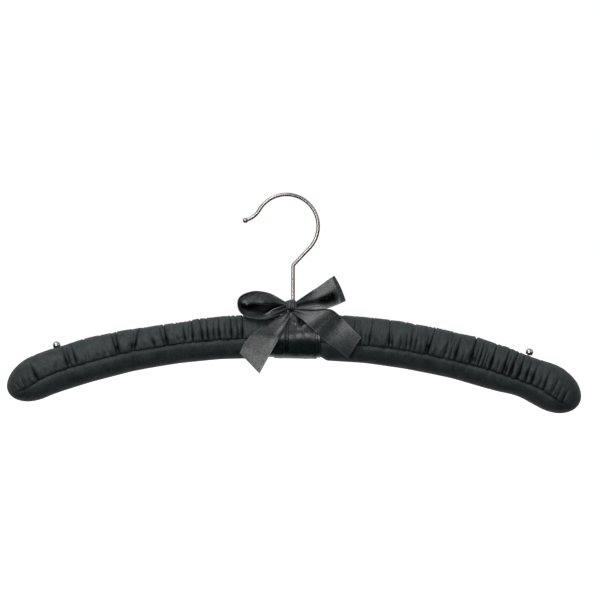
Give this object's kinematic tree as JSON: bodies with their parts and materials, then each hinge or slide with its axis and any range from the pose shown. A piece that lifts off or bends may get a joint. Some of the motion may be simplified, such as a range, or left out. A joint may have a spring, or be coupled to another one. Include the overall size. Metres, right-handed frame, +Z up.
{
  "type": "padded clothes hanger",
  "caption": "Curved clothes hanger padded and covered in gathered satin, with a turning wire hook, ball-headed strap studs and a ribbon bow tied at the hook's base.",
  "frame": {"origin": "rail saddle: the inner top of the hook, where the hanger hangs on its rail", "axes": "+Z up, +X along the arms towards the arm that the hook bulges over, -Y the front, where the bow is"},
  "size_m": [0.4291, 0.0336, 0.1632],
  "materials": {
    "hook_steel": "warm nickel plate, satin polish",
    "fitting_steel": "zinc plate",
    "bush_brass": "turned",
    "core_wood": "sawn and sanded, unvarnished",
    "wadding": "soft polyester wadding",
    "cover_satin": "black satin",
    "ribbon_satin": "black satin ribbon",
    "sewing_thread": "black thread",
    "stud_chrome": "polished nickel plate"
  },
  "bodies": {
    "hook_body": {"hook": "hook_steel", "stop_collar": "fitting_steel", "thrust_washer": "fitting_steel"},
    "padded_body": {"swivel_bush": "bush_brass", "wooden_core": "core_wood", "padding_left": "wadding", "padding_right": "wadding", "gathered_cover_left": "cover_satin", "gathered_cover_right": "cover_satin", "plain_cover_left": "cover_satin", "plain_cover_right": "cover_satin", "seam_thread_left": "sewing_thread", "seam_thread_right": "sewing_thread", "joining_stitches": "sewing_thread", "strap_stud_left": "stud_chrome", "strap_stud_right": "stud_chrome", "under_band": "ribbon_satin", "ribbon_wrap": "ribbon_satin", "shank_turn": "ribbon_satin", "bow_knot": "ribbon_satin", "bow_loop_left": "ribbon_satin", "bow_loop_right": "ribbon_satin", "bow_tail_left": "ribbon_satin", "bow_tail_right": "ribbon_satin"}
  },
  "joints": [
    {"name": "hook_swivel", "type": "hinge", "parent": "hook_body", "child": "padded_body", "pos_m": [0.0049, 0, -0.105], "axis": [0, 0, 1], "continuous": true}
  ]
}
